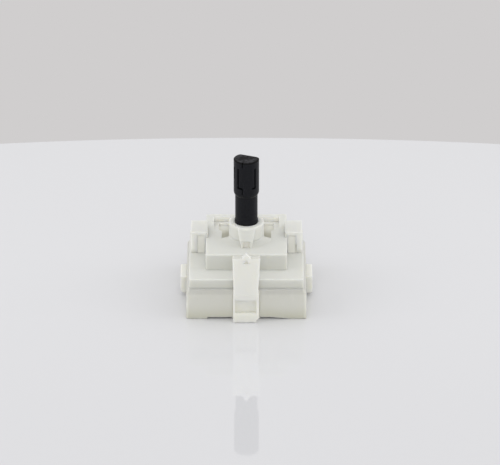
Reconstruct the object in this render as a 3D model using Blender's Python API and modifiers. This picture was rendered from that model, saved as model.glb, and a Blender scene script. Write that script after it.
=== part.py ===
"""Rotary selector switch for an appliance: white snap-together housing, black shaft with a sprung D end.

Metres, +Z up along the shaft. The origin is on the shaft axis in the plane of the underside.
+X is to the right and -Y is the side with the panel latch.
"""
import math

import bmesh
import bpy
from mathutils import Matrix, Vector

# Fits between separate pieces
GAP = 0.0003            # between a piece and what it rests on or fits into
BEARING_PLAY = 0.00015  # radial play of the shaft in its two bearings
RUN_CLEAR = 0.0004      # between a turning piece and a fixed one

# Walls
BASE_WALL = 0.0013
BASE_FLOOR = 0.0012
BASE_STRAIGHT = 0.00695  # height of the upright part of the base wall
BASE_SLOPE = 0.0013     # height of the sloping edge above it
FRONT_DRAFT = 0.00055   # how far the front wall leans back over its height
COVER_WALL = 0.0012
CEILING = 0.00086       # wall left under the sunk area
SEAM = 0.00015          # between the base and the cover, at the skirt and under the barbs
CORNER_ROUND = 0.0005
TOWER_CORNER = 0.0003
EDGE_ROUND = 0.0002
RELIEF_HEIGHT = 0.00055  # shallow arches under the front wall
RELIEF_DEPTH = 0.0022
RELIEF_END_LEFT = 0.0052  # from the side wall to the arches
RELIEF_END_RIGHT = 0.0046

# Cover
STEP_IN = 0.00065       # how far the cover stands in from the base
SKIRT_HEIGHT = 0.0026
LEDGE_DEPTH = 0.0052    # ledge in front of the upper block
LIP_WALL = 0.0008       # locating lip that drops inside the base wall
LIP_DEPTH = 0.0013
BLOCK_HEIGHT = 0.0044   # above the ledge
GUIDE_TO_FACE = 0.00035  # from the front ball guide to the block's front face
RECESS_DEPTH = 0.0013
RECESS_REAR = 0.0110
RECESS_REAR_HALF = 0.0084
RECESS_NECK_HALF = 0.0063
RECESS_NECK_REAR = 0.0030
RECESS_FLARE = 0.0020
RECESS_FRONT = 0.0009   # in front of the shaft's axis
CORE_REAR = 0.0100      # coring pockets beside the collar
CORE_REAR_OUTER = 0.0071
CORE_FRONT = 0.0006     # in front of the shaft's axis
CORE_STEP = 0.0006      # their depth at the rear
CORE_DEPTH = 0.0018     # their depth at the front
CORE_WALL = 0.00065

# Latch towers at the sides of the cover
TOWER_SET_IN = 0.00035  # from the skirt's side
TOWER_ROOT = 0.0005     # how far a tower runs into the block
TOWER_FRONT = 0.0007
TOWER_REAR = 0.00625
TOWER_HEIGHT = 0.0059   # above the ledge
TOWER_ROOF = 0.0009
TOWER_FACE = 0.00035    # front wall round the window

# Snap arms of the base, whose barbs hook over the ledge inside the towers
SNAP_WIDTH = 0.0019
SNAP_THICK = 0.00115
SNAP_BARB = 0.0008
SNAP_FACE = 0.0030      # height of the barb's upright face
WINDOW_SLIT = 0.0024    # height of the slit beside the right arm
SNAP_TIP = 0.0005       # how far the barb still stands out at the arm's end
WINDOW_OVERLAP = 0.00005  # how far the window's edges cover the arm's

# Collar round the shaft, with its pointer rib
COLLAR_HEIGHT = 0.0045  # above the block
COLLAR_WALL = 0.0012
COLLAR_FLARE = 0.00024
COLLAR_RIM_EDGE = 0.00025
COUNTERSINK = 0.00012
COVE_REACH = 0.0038     # hollow slope between the collar's foot and the block's top
COVE_RISE = 0.0007
RIB_TOP_WIDTH = 0.0046
RIB_FOOT_WIDTH = 0.0028
RIB_REACH = 0.0021      # in front of the collar
RIB_DROP = 0.0025       # from its top to its upright face
RIB_CROWN = 0.00012     # how far its sloping top bulges
RIB_POCKET_WIDTH = 0.0017
RIB_POCKET_DEPTH = 0.0004

# Panel latch at the front of the base
POCKET_LEFT = 0.0029
POCKET_RIGHT = 0.0025
POCKET_DEPTH = 0.0010
POCKET_BOTTOM = 0.0027
POCKET_HEIGHT = 0.0038
CHEEK_LEFT = 0.00046
CHEEK_RIGHT = 0.0007
FOOT_DEPTH = 0.00225    # in front of the base wall
FOOT_CHAMFER = 0.0007
ARM_THICK = 0.0014
ARM_HEIGHT = 0.0092     # above the foot
ARM_FOOT_WIDTH = 0.0062
ARM_TOP_WIDTH = 0.0071
ARM_LEAN = 0.0022       # how far the arm leans back over its height
ARM_SET_LEFT = 0.00015  # how far the arm's foot stands to the left
ARM_ROOT = 0.0011       # height over which the foot narrows to the arm
PIP_WIDTH = 0.0028
PIP_HEIGHT = 0.0012
PIP_DEPTH = 0.0009
PIP_ROOT = 0.0006       # how far the pip runs down into the arm
NICK_WIDTH = 0.0016     # triangular nick in the arm below the pip
NICK_HEIGHT = 0.00095
NICK_BELOW = 0.0015     # from the arm's top to the nick's foot
NICK_DEPTH = 0.0004

# Side ears of the base
EAR_REACH = 0.00165
EAR_DEPTH = 0.0069
EAR_BOTTOM = 0.00095
EAR_BELOW_SLOPE = 0.0013
EAR_ROUND_LEFT = 0.00085
EAR_ROUND_RIGHT = 0.0003

# Shaft
SHAFT_R = 0.00287
TIP_SWELL = 0.00038     # how much the sprung tip is larger in radius
SHAFT_LENGTH = 0.0178   # free length above the collar
TIP_LENGTH = 0.0092
TIP_SHOULDER = 0.0009
TIP_CHAMFER = 0.00045   # how far its rim is drawn in
TIP_CHAMFER_DROP = 0.0002
SEAT_RING_SWELL = 0.00013
SEAT_RING_HEIGHT = 0.0005
FLAT_ANGLE = 69.0       # direction that the flat faces, degrees from +X
FLAT_DISTANCE = 0.00168
SLIT_WIDTH = 0.00045
SLIT_DEPTH = 0.0011
SLIT_LENGTH = 0.0057
SLIT_BELOW_TOP = 0.0018
SLITS = ((-131.0, 0.0013), (-47.0, -0.0009))  # angle of each, and the length of its turned-in end
SIDE_SLIT_ANGLE = -160.0
SIDE_SLIT_LENGTH = 0.0035
JOINT_ANGLE = -109.0    # fine open joint in the tip, above and below the left slit's end
JOINT_WIDTH = 0.00022
JOINT_DEPTH = 0.0003
JOINT_UPPER = 0.0013
JOINT_LOWER = 0.0015
FLANGE_THICK = 0.0008
DRIVE_STEP = 0.00017    # how much the drive section is smaller in radius than the shaft
DRIVE_FLAT = 0.0020     # half width across the two drive flats
PIVOT_R = 0.0014
GROOVE_DEPTH = 0.0003
BEARING_WALL = 0.0012

# Contacts and terminals, stamped from one thickness of sheet
SHEET = 0.0005
TAB_WIDTH = 0.0028
TAB_SIDE = 0.0022       # from the outer tabs to the side wall
TAB_REACH = 0.0063      # behind the rear wall
TAB_CHAMFER = 0.0006
TAB_HOLE_R = 0.0005     # detent hole near the tab's end
TAB_HOLE_IN = 0.0022
RING_CLEAR = 0.00065    # from the base's bearing to the common ring
RING_WIDTH = 0.0018
TRACK_SPACE = 0.0012
SEGMENT_WIDTH = 0.0026
SEGMENT_SPAN = 62.0     # degrees
SIDE_STRIP = 0.0008
CROSS_STRIP = 0.0020
PEG_R = 0.0007
PEG_FROM_WALL = 0.0013  # from the rear wall's inner face to the pegs' axes

# Terminal clamp
CLAMP_DEPTH = 0.0022
CLAMP_THICK = 0.0017

# Wipers
WIPER_SHEET = 0.00025
WIPER_WIDTH = 0.0024
WIPER_RISE = 0.0006
WIPER_START = 45.0
WIPER_COUNT = 3
WIPER_PEG_R = 0.0005

# Wiper carrier and detent wheel
CARRIER_THICK = 0.0014
WHEEL_THICK = 0.0014
WHEEL_RIM = 0.0004      # outside the grooved track
HUB_HEIGHT = 0.0021
HUB_CLEAR = 0.00065     # from the hub to the ball guides
TRACK_HALF = 0.0013     # half width of the grooved track
CAM_LIFT = 0.0007
GROOVE_EASE = 0.0004    # how much a groove's radius is larger than the ball's
POSITIONS = 12
CLIP_WIDTH = 0.00125
CLIP_THICK = 0.0004
CLIP_MOUTH = 0.0018

# Detents
BALL_R = 0.0015
GUIDE_WALL = 0.00065
GUIDE_CLEAR = 0.00095   # from the thrust washer to the ball guides
SPRING_WIRE = 0.00015   # radius of the wire
SPRING_TURNS = 4
WASHER_THICK = 0.0004
WASHER_WIDTH = 0.00108

ROUND_STEPS = 48
SMALL_STEPS = 24
CORNER_STEPS = 4

# Radii from the shaft outward
BORE_R = SHAFT_R + BEARING_PLAY
SHAFT_TIP_R = SHAFT_R + TIP_SWELL
SEAT_RING_R = SHAFT_R + SEAT_RING_SWELL
DRIVE_R = SHAFT_R - DRIVE_STEP
COLLAR_FOOT_R = BORE_R + COLLAR_WALL
COLLAR_RIM_R = COLLAR_FOOT_R + COLLAR_FLARE
WASHER_OUTER = BORE_R + WASHER_WIDTH
GUIDE_BORE_R = BALL_R + GAP
GUIDE_R = GUIDE_BORE_R + GUIDE_WALL
TRACK_R = WASHER_OUTER + GUIDE_CLEAR + GUIDE_R
HUB_R = TRACK_R - GUIDE_R - HUB_CLEAR
WHEEL_R = TRACK_R + TRACK_HALF + WHEEL_RIM
CAM_GROOVE_R = BALL_R + GROOVE_EASE
PIVOT_BORE_R = PIVOT_R + BEARING_PLAY
BEARING_R = PIVOT_BORE_R + BEARING_WALL
RING_INNER = BEARING_R + RING_CLEAR
RING_OUTER = RING_INNER + RING_WIDTH
SEGMENT_INNER = RING_OUTER + TRACK_SPACE
SEGMENT_OUTER = SEGMENT_INNER + SEGMENT_WIDTH
WIPER_PEG_AT = (RING_OUTER + SEGMENT_INNER) / 2

# Widths, from the middle outward
BLOCK_HALF = WHEEL_R + COVER_WALL
SNAP_INNER = BLOCK_HALF + GAP
SNAP_OUTER = SNAP_INNER + SNAP_WIDTH
WINDOW_OUTER = SNAP_OUTER + GAP
STRIP_INNER = SNAP_OUTER + GAP
STRIP_OUTER = STRIP_INNER + SIDE_STRIP
INNER_HALF = STRIP_OUTER + GAP
BASE_HALF = INNER_HALF + BASE_WALL
COVER_HALF = BASE_HALF - STEP_IN
TOWER_OUTER = COVER_HALF - TOWER_SET_IN
TOWER_INNER = BLOCK_HALF - TOWER_ROOT
CORE_INNER = COLLAR_FOOT_R + GAP
TAB_PITCH = (INNER_HALF - TAB_SIDE - TAB_WIDTH / 2) / 2
TAB_XS = [TAB_PITCH * k for k in (-2, -1, 0, 1, 2)]
FOOT_LEFT = POCKET_LEFT + CHEEK_LEFT
FOOT_RIGHT = POCKET_RIGHT + CHEEK_RIGHT

# Depths, from the shaft axis to the front and to the rear
BLOCK_FRONT = TRACK_R + GUIDE_R + GUIDE_TO_FACE
COVER_FRONT = BLOCK_FRONT + LEDGE_DEPTH
BASE_FRONT = COVER_FRONT + STEP_IN
INNER_FRONT = BASE_FRONT - BASE_WALL
CLAMP_FRONT = WHEEL_R + RUN_CLEAR
INNER_REAR = CLAMP_FRONT + CLAMP_DEPTH + GAP
BASE_REAR = INNER_REAR + BASE_WALL
COVER_REAR = BASE_REAR - STEP_IN
PEG_Y = INNER_REAR - PEG_FROM_WALL
BARB_FRONT = TOWER_FACE + GAP - TOWER_FRONT
SNAP_FRONT = BARB_FRONT + SNAP_BARB
SNAP_REAR = SNAP_FRONT + SNAP_THICK

# Heights, from the underside up
BASE_TOP = BASE_STRAIGHT + BASE_SLOPE
POCKET_TOP = POCKET_BOTTOM + POCKET_HEIGHT
EAR_TOP = BASE_STRAIGHT - EAR_BELOW_SLOPE
SKIRT_BOTTOM = BASE_TOP + SEAM
LEDGE = SKIRT_BOTTOM + SKIRT_HEIGHT
LEDGE_UNDER = LEDGE - COVER_WALL
BLOCK_TOP = LEDGE + BLOCK_HEIGHT
RECESS_FLOOR = BLOCK_TOP - RECESS_DEPTH
CORE_FLOOR = RECESS_FLOOR - CORE_DEPTH
BLOCK_CEILING = RECESS_FLOOR - CEILING
COLLAR_TOP = BLOCK_TOP + COLLAR_HEIGHT
TOWER_TOP = LEDGE + TOWER_HEIGHT
WINDOW_TOP = TOWER_TOP - TOWER_ROOF
LIP_BOTTOM = BASE_TOP - LIP_DEPTH
SHAFT_TOP = COLLAR_TOP + SHAFT_LENGTH
ARM_TOP = BASE_TOP + ARM_HEIGHT
CONTACT_Z = BASE_FLOOR + GAP
CONTACT_TOP = CONTACT_Z + SHEET
CLAMP_Z = CONTACT_TOP + GAP
CLAMP_TOP = CLAMP_Z + CLAMP_THICK
WIPER_Z = CONTACT_TOP + GAP
CARRIER_Z = WIPER_Z + WIPER_SHEET + WIPER_RISE + GAP
CARRIER_TOP = CARRIER_Z + CARRIER_THICK
CLIP_Z = CARRIER_Z - GAP - CLIP_THICK
BEARING_TOP = CLIP_Z - GAP
PIVOT_Z = BASE_FLOOR + GAP
WHEEL_Z = CARRIER_TOP + GAP
CAM_VALLEY = WHEEL_Z + WHEEL_THICK
CAM_TOP = CAM_VALLEY + CAM_LIFT
HUB_TOP = CAM_VALLEY + HUB_HEIGHT
FLANGE_Z = HUB_TOP + GAP
FLANGE_TOP = FLANGE_Z + FLANGE_THICK
WASHER_Z = FLANGE_TOP + GAP
WASHER_TOP = WASHER_Z + WASHER_THICK
SLEEVE_Z = WASHER_TOP + GAP
GUIDE_Z = CAM_TOP + RUN_CLEAR
BALL_Z = CAM_VALLEY + GAP + BALL_R
SPRING_Z = BALL_Z + BALL_R + GAP
SPRING_TOP = BLOCK_CEILING - GAP

OVER = 0.001            # how far a cutter runs past the face it opens

for old in list(bpy.data.objects):
    bpy.data.objects.remove(old, do_unlink=True)

parts = bpy.data.collections.new("selector_switch")
tools = bpy.data.collections.new("cutters_and_joiners")
bpy.context.scene.collection.children.link(parts)
bpy.context.scene.collection.children.link(tools)


def make_material(name, color, roughness, metallic=0.0):
    """A Principled material with the piece's own colour."""
    material = bpy.data.materials.new(name)
    material.use_nodes = True
    shader = material.node_tree.nodes["Principled BSDF"]
    shader.inputs["Base Color"].default_value = (*color, 1.0)
    shader.inputs["Roughness"].default_value = roughness
    shader.inputs["Metallic"].default_value = metallic
    return material


WHITE = make_material("white_plastic", (0.72, 0.72, 0.68), 0.45)
BLACK = make_material("black_plastic", (0.018, 0.018, 0.021), 0.38)
NATURAL = make_material("natural_acetal", (0.78, 0.77, 0.72), 0.4)
BRASS = make_material("tinned_brass", (0.72, 0.62, 0.36), 0.35, 1.0)
BRONZE = make_material("phosphor_bronze", (0.70, 0.47, 0.28), 0.3, 1.0)
STEEL = make_material("steel", (0.62, 0.62, 0.63), 0.25, 1.0)


def finish(obj, material=None):
    """Put an object with its piece's material among the parts, or hide it among the tools."""
    if material is None:
        tools.objects.link(obj)
        obj.hide_render = True
        obj.display_type = "WIRE"
    else:
        parts.objects.link(obj)
        obj.data.materials.append(material)
    return obj


def mesh_object(name, bm, material=None):
    mesh = bpy.data.meshes.new(name)
    bmesh.ops.recalc_face_normals(bm, faces=bm.faces[:])
    bm.to_mesh(mesh)
    bm.free()
    return finish(bpy.data.objects.new(name, mesh), material)


def box(name, low, high, material=None):
    """A box between two corners."""
    bm = bmesh.new()
    bmesh.ops.create_cube(bm, size=1.0)
    size = Vector(high) - Vector(low)
    middle = (Vector(high) + Vector(low)) / 2
    bm.transform(Matrix.Translation(middle) @ Matrix.Diagonal((*size, 1.0)))
    return mesh_object(name, bm, material)


def tapered(name, z_low, z_high, foot, top, material=None):
    """A block whose foot and top are different rectangles, each (x low, x high, y low, y high)."""
    bm = bmesh.new()
    bmesh.ops.create_cube(bm, size=2.0)
    for vert in bm.verts:
        x_low, x_high, y_low, y_high = top if vert.co.z > 0 else foot
        vert.co = Vector((x_high if vert.co.x > 0 else x_low,
                          y_high if vert.co.y > 0 else y_low,
                          z_high if vert.co.z > 0 else z_low))
    return mesh_object(name, bm, material)


def lofted(name, sections, material=None):
    """A block through rounded rectangles: each is (z, x low, x high, y low, y high, corner radius)."""
    bm = bmesh.new()
    rings = []
    for z, x_low, x_high, y_low, y_high, radius in sections:
        outline = []
        for turn, x, y in ((0, x_high - radius, y_high - radius), (90, x_low + radius, y_high - radius),
                           (180, x_low + radius, y_low + radius), (270, x_high - radius, y_low + radius)):
            outline += arc(radius, turn, turn + 90, CORNER_STEPS, (x, y))
        rings.append([bm.verts.new((x, y, z)) for x, y in outline])
    for lower, upper in zip(rings, rings[1:]):
        for k in range(len(lower)):
            bm.faces.new((lower[k - 1], lower[k], upper[k], upper[k - 1]))
    bm.faces.new(rings[0][::-1])
    bm.faces.new(rings[-1])
    return mesh_object(name, bm, material)


def inset(z, low, high, corner, amount):
    """A section of a lofted block: the rectangle from low to high, drawn in on all sides by an amount."""
    return (z, low[0] + amount, high[0] - amount, low[1] + amount, high[1] - amount, corner - amount)


def crowned(name, low, high, corner, material=None):
    """A block with rounded upright corners and a rounded top edge."""
    sections = [inset(low[2], low, high, corner, 0)]
    for turn in (0, 30, 60, 90):
        angle = math.radians(turn)
        sections.append(inset(high[2] - EDGE_ROUND * (1 - math.sin(angle)), low, high, corner,
                              EDGE_ROUND * (1 - math.cos(angle))))
    return lofted(name, sections, material)


def drum(name, radius, z_low, z_high, centre=(0.0, 0.0), steps=SMALL_STEPS, material=None):
    """An upright cylinder."""
    bm = bmesh.new()
    bmesh.ops.create_cone(bm, cap_ends=True, segments=steps, radius1=radius, radius2=radius,
                          depth=z_high - z_low)
    bm.transform(Matrix.Translation((*centre, (z_low + z_high) / 2)))
    return mesh_object(name, bm, material)


def turned(name, profile, steps=ROUND_STEPS, material=None, closed=False):
    """A turned piece from (radius, height) points that run down its outer side."""
    mesh = bpy.data.meshes.new(name)
    count = len(profile)
    edges = [(k, k + 1) for k in range(count - 1)]
    if closed:
        edges.append((count - 1, 0))
    mesh.from_pydata([(radius, 0.0, height) for radius, height in profile], edges, [])
    obj = finish(bpy.data.objects.new(name, mesh), material)
    screw = obj.modifiers.new("turn", "SCREW")
    screw.steps = steps
    screw.render_steps = steps
    screw.use_merge_vertices = True
    screw.merge_threshold = 0.00001
    return obj


def extruded(name, outline, low, high, along="Z", material=None):
    """A flat outline drawn in the plane across an axis, and extruded along it from low to high.

    The outline is (x, y) for Z, (x, z) for Y and (y, z) for X.
    """
    curve = bpy.data.curves.new(name, "CURVE")
    curve.dimensions = "2D"
    curve.fill_mode = "BOTH"
    curve.extrude = (high - low) / 2
    spline = curve.splines.new("POLY")
    spline.points.add(len(outline) - 1)
    for point, (u, v) in zip(spline.points, outline):
        point.co = (u, v, 0.0, 1.0)
    spline.use_cyclic_u = True
    flat = bpy.data.objects.new(name + "_outline", curve)
    bpy.context.scene.collection.objects.link(flat)
    bpy.context.view_layer.update()
    mesh = bpy.data.meshes.new_from_object(flat.evaluated_get(bpy.context.evaluated_depsgraph_get()))
    bpy.data.objects.remove(flat, do_unlink=True)
    bm = bmesh.new()
    bm.from_mesh(mesh)
    bmesh.ops.remove_doubles(bm, verts=bm.verts[:], dist=0.000001)
    turn = {"Z": Matrix.Identity(4),
            "Y": Matrix(((1, 0, 0, 0), (0, 0, -1, 0), (0, 1, 0, 0), (0, 0, 0, 1))),
            "X": Matrix(((0, 0, 1, 0), (1, 0, 0, 0), (0, 1, 0, 0), (0, 0, 0, 1)))}[along]
    shift = {"Z": (0, 0, 1), "Y": (0, 1, 0), "X": (1, 0, 0)}[along]
    bm.transform(Matrix.Translation(Vector(shift) * (low + high) / 2) @ turn)
    return mesh_object(name, bm, material)


def arc(radius, start, end, count, centre=(0.0, 0.0)):
    """Points on an arc, from one angle in degrees to another, ends included."""
    angles = [math.radians(start + (end - start) * k / (count - 1)) for k in range(count)]
    return [(centre[0] + radius * math.cos(a), centre[1] + radius * math.sin(a)) for a in angles]


def strip_outline(path, thickness):
    """The outline of a bent strip: its middle line moved half its thickness to each side."""
    sides = ([], [])
    for k, point in enumerate(path):
        before = Vector(path[max(k - 1, 0)])
        after = Vector(path[min(k + 1, len(path) - 1)])
        run = (after - before).normalized()
        normal = Vector((-run.y, run.x)) * thickness / 2
        sides[0].append(tuple(Vector(point) + normal))
        sides[1].append(tuple(Vector(point) - normal))
    return sides[0] + sides[1][::-1]


def boolean(obj, operation, *others):
    for other in others:
        modifier = obj.modifiers.new(operation.lower() + "_" + other.name, "BOOLEAN")
        modifier.operation = operation
        modifier.object = other
        modifier.solver = "EXACT"


def cut(obj, *others):
    boolean(obj, "DIFFERENCE", *others)


def join(obj, *others):
    boolean(obj, "UNION", *others)


def round_edges(obj, width, segments=2, axis=None):
    """Round the edges of a primitive in its mesh: all of them, or those along one axis."""
    bm = bmesh.new()
    bm.from_mesh(obj.data)
    edges = bm.edges[:]
    if axis is not None:
        edges = [e for e in edges if abs((e.verts[1].co - e.verts[0].co).normalized()[axis]) > 0.9]
    bmesh.ops.bevel(bm, geom=edges, offset=width, segments=segments, profile=0.5, affect="EDGES")
    bm.to_mesh(obj.data)
    bm.free()
    return obj


def spin(obj, degrees):
    """Turn a mesh about the shaft axis, in its own data."""
    obj.data.transform(Matrix.Rotation(math.radians(degrees), 4, "Z"))
    return obj


def smooth(obj, degrees=35.0):
    obj.data.shade_smooth()
    obj.data.set_sharp_from_angle(angle=math.radians(degrees))
    return obj


def drive_hole(name, z_low, z_high):
    """Cutter for the double-flatted hole that the shaft's drive section fits."""
    radius = DRIVE_R + BEARING_PLAY
    half = DRIVE_FLAT + BEARING_PLAY
    bend = math.degrees(math.asin(half / radius))
    outline = arc(radius, -bend, bend, 9) + arc(radius, 180 - bend, 180 + bend, 9)
    return extruded(name, outline, z_low, z_high)


def make_ear(side):
    """One side ear: a block on the side wall, rounded at its outer edges."""
    rounding, turn = (EAR_ROUND_RIGHT, -90) if side > 0 else (EAR_ROUND_LEFT, -120)
    outer = BASE_HALF + EAR_REACH
    root = BASE_HALF - BASE_WALL / 2
    lower = arc(rounding, turn, 0, 6, (outer - rounding, EAR_BOTTOM + rounding))
    outline = [(root, lower[0][1])] + lower
    outline += arc(EAR_ROUND_RIGHT, 0, 90, 4, (outer - EAR_ROUND_RIGHT, EAR_TOP - EAR_ROUND_RIGHT))
    outline += [(root, EAR_TOP)]
    outline = [(side * x, z) for x, z in outline]
    return extruded("ear_right" if side > 0 else "ear_left", outline, -EAR_DEPTH / 2, EAR_DEPTH / 2, "Y")


def make_snap(side):
    """One snap arm: a tongue that stands on the floor, with a barb that faces the front at its top."""
    low = LEDGE + SEAM
    outline = [(SNAP_REAR, BASE_FLOOR / 2), (SNAP_FRONT, BASE_FLOOR / 2), (SNAP_FRONT, low),
               (BARB_FRONT, low), (BARB_FRONT, low + SNAP_FACE),
               (SNAP_FRONT - SNAP_TIP, WINDOW_TOP - GAP), (SNAP_REAR, WINDOW_TOP - GAP)]
    x_low, x_high = sorted((side * SNAP_INNER, side * SNAP_OUTER))
    return extruded("snap_right" if side > 0 else "snap_left", outline, x_low, x_high, "X")


def make_latch(base):
    """The panel latch: a foot block with a pocket, and a leaning arm with a pip on its end."""
    front = -(BASE_FRONT + FOOT_DEPTH)
    root = -(INNER_FRONT + BASE_WALL / 4)
    foot = round_edges(box("latch_foot", (-FOOT_LEFT, front, 0), (FOOT_RIGHT, root, BASE_TOP)), EDGE_ROUND)
    corner = extruded("foot_corner", [(FOOT_RIGHT - FOOT_CHAMFER, -OVER), (FOOT_RIGHT + OVER, -OVER),
                                      (FOOT_RIGHT + OVER, 2 * FOOT_CHAMFER),
                                      (FOOT_RIGHT, 2 * FOOT_CHAMFER),
                                      (FOOT_RIGHT - FOOT_CHAMFER, FOOT_CHAMFER)],
                      front - OVER, -BASE_FRONT, "Y")
    pocket = box("foot_pocket", (-POCKET_LEFT, front - OVER, POCKET_BOTTOM),
                 (POCKET_RIGHT, front + POCKET_DEPTH, POCKET_TOP))
    left = -ARM_FOOT_WIDTH / 2 - ARM_SET_LEFT
    right = ARM_FOOT_WIDTH / 2 - ARM_SET_LEFT
    arm = round_edges(tapered(
        "latch_arm", BASE_TOP - GAP, ARM_TOP, (left, right, front, front + ARM_THICK),
        (-ARM_TOP_WIDTH / 2, ARM_TOP_WIDTH / 2, front + ARM_LEAN, front + ARM_LEAN + ARM_THICK)), EDGE_ROUND)
    hidden = EDGE_ROUND / 2
    lean = ARM_LEAN * ARM_ROOT / ARM_HEIGHT + hidden
    arm_root = tapered("arm_root", BASE_TOP - GAP, BASE_TOP + ARM_ROOT,
                       (-FOOT_LEFT + hidden, FOOT_RIGHT - hidden, front + hidden, front + ARM_THICK - hidden),
                       (left + hidden, right - hidden, front + lean, front + ARM_THICK - hidden))
    face = front + ARM_LEAN
    pip = extruded("latch_pip", [(-PIP_WIDTH / 2, ARM_TOP - PIP_ROOT), (PIP_WIDTH / 2, ARM_TOP - PIP_ROOT),
                                 (0, ARM_TOP + PIP_HEIGHT)], face - EDGE_ROUND / 2, face + PIP_DEPTH, "Y")
    nick_foot = ARM_TOP - NICK_BELOW
    nick = extruded("pip_nick", [(-NICK_WIDTH / 2, nick_foot), (NICK_WIDTH / 2, nick_foot),
                                 (0, nick_foot + NICK_HEIGHT)], face - ARM_THICK, face + NICK_DEPTH, "Y")
    join(base, foot)
    cut(base, corner, pocket)
    join(base, arm_root, arm, pip)
    cut(base, nick)


def make_base():
    """The tray, with bearing, pegs, ears, snap arms, terminal notches and the panel latch."""
    def section(z, drawn_in):
        lean = FRONT_DRAFT * z / BASE_TOP
        return (z, drawn_in - BASE_HALF, BASE_HALF - drawn_in, lean - BASE_FRONT, BASE_REAR - drawn_in,
                CORNER_ROUND)

    foot = EDGE_ROUND * 0.75
    base = lofted("base", [section(0, foot), section(foot, 0), section(BASE_STRAIGHT, 0),
                           section(BASE_TOP, STEP_IN)], WHITE)
    for side, start, end, slope in ((-1, FOOT_LEFT, BASE_HALF - RELIEF_END_LEFT, GAP),
                                    (1, FOOT_RIGHT, BASE_HALF - RELIEF_END_RIGHT, RELIEF_END_RIGHT)):
        outline = [(start + GAP, -OVER), (end, -OVER), (end, RELIEF_HEIGHT / 4), (end - slope, RELIEF_HEIGHT),
                   (start + GAP, RELIEF_HEIGHT)]
        cut(base, extruded(f"relief_{side}", [(side * x, z) for x, z in outline],
                           -(BASE_FRONT + OVER), RELIEF_DEPTH - BASE_FRONT, "Y"))
    cut(base, box("tray_inside", (-INNER_HALF, -INNER_FRONT, BASE_FLOOR),
                  (INNER_HALF, INNER_REAR, BASE_TOP + OVER)))
    for k, x in enumerate(TAB_XS):
        half = TAB_WIDTH / 2 + GAP
        cut(base, box(f"tab_notch_{k}", (x - half, INNER_REAR - OVER, BASE_FLOOR),
                      (x + half, BASE_REAR + OVER, BASE_TOP + OVER)))
    join(base, drum("bearing", BEARING_R, BASE_FLOOR / 2, BEARING_TOP))
    cut(base, drum("bearing_bore", PIVOT_BORE_R, BASE_FLOOR, BEARING_TOP + OVER))
    for k, x in enumerate(TAB_XS):
        join(base, drum(f"peg_{k}", PEG_R, BASE_FLOOR / 2, CLAMP_TOP + GAP, (x, PEG_Y), 12))
    join(base, make_ear(-1), make_ear(1), make_snap(-1), make_snap(1))
    make_latch(base)
    return base


def recess_outline():
    """The sunk area round the collar: wide at the rear, necked beside the slots."""
    right = [(RECESS_NECK_HALF, -RECESS_FRONT), (RECESS_NECK_HALF, RECESS_NECK_REAR),
             (RECESS_REAR_HALF, RECESS_NECK_REAR + RECESS_FLARE), (RECESS_REAR_HALF, RECESS_REAR)]
    return right + [(-x, y) for x, y in reversed(right)]


def make_core(side):
    """One coring pocket beside the collar, wider at its rear, with a floor that falls to the front."""
    flare = RECESS_NECK_REAR + RECESS_FLARE / 2
    outline = [(CORE_INNER, -CORE_FRONT), (RECESS_NECK_HALF, -CORE_FRONT),
               (RECESS_NECK_HALF, RECESS_NECK_REAR), (CORE_REAR_OUTER, flare),
               (CORE_REAR_OUTER, CORE_REAR), (CORE_INNER, CORE_REAR)]
    core = extruded(f"core_{side}", [(side * x, y) for x, y in outline], CORE_FLOOR - OVER, BLOCK_TOP + OVER)
    fall = (CORE_DEPTH - CORE_STEP) / (CORE_REAR + CORE_FRONT)
    profile = [(-CORE_FRONT - OVER, CORE_FLOOR - OVER * fall), (CORE_REAR + OVER, CORE_FLOOR + fall * (
        CORE_REAR + CORE_FRONT + OVER)), (CORE_REAR + OVER, BLOCK_TOP + 2 * OVER),
               (-CORE_FRONT - OVER, BLOCK_TOP + 2 * OVER)]
    boolean(core, "INTERSECT", extruded(f"core_fall_{side}", profile, -BLOCK_HALF, BLOCK_HALF, "X"))
    return core


def make_collar_rib():
    """The pointer rib: sloping top, upright face, narrower at its foot, with a small pocket."""
    front = -(COLLAR_RIM_R + RIB_REACH)
    root = -(BORE_R + GAP)
    rim = -COLLAR_RIM_R
    top = COLLAR_TOP - COLLAR_RIM_EDGE
    side = [(root, RECESS_FLOOR - GAP), (front, RECESS_FLOOR - GAP), (front, COLLAR_TOP - RIB_DROP),
            ((front + rim) / 2 - RIB_CROWN, (top + COLLAR_TOP - RIB_DROP) / 2 + RIB_CROWN), (rim, top),
            (root, top)]
    rib = extruded("pointer_rib", side, -RIB_TOP_WIDTH / 2, RIB_TOP_WIDTH / 2, "X")
    for sign in (-1, 1):
        slope = [(sign * RIB_FOOT_WIDTH / 2, RECESS_FLOOR - OVER),
                 (sign * RIB_FOOT_WIDTH / 2, BLOCK_TOP + RIB_DROP / 3),
                 (sign * RIB_TOP_WIDTH / 2, COLLAR_TOP),
                 (sign * RIB_TOP_WIDTH, COLLAR_TOP),
                 (sign * RIB_TOP_WIDTH, RECESS_FLOOR - OVER)]
        cut(rib, extruded(f"rib_side_{sign}", slope, front - OVER, 0, "Y"))
    cut(rib, box("rib_pocket", (-RIB_POCKET_WIDTH / 2, front - OVER, BLOCK_TOP),
                 (RIB_POCKET_WIDTH / 2, front + RIB_POCKET_DEPTH, COLLAR_TOP - RIB_DROP - GAP)))
    return rib


def make_tower(side):
    """One latch tower as a solid block, set on the ledge."""
    x_low, x_high = sorted((side * TOWER_INNER, side * TOWER_OUTER))
    return crowned(f"tower_{'right' if side > 0 else 'left'}", (x_low, -TOWER_FRONT, LEDGE - COVER_WALL / 2),
                   (x_high, TOWER_REAR, TOWER_TOP), TOWER_CORNER)


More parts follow.
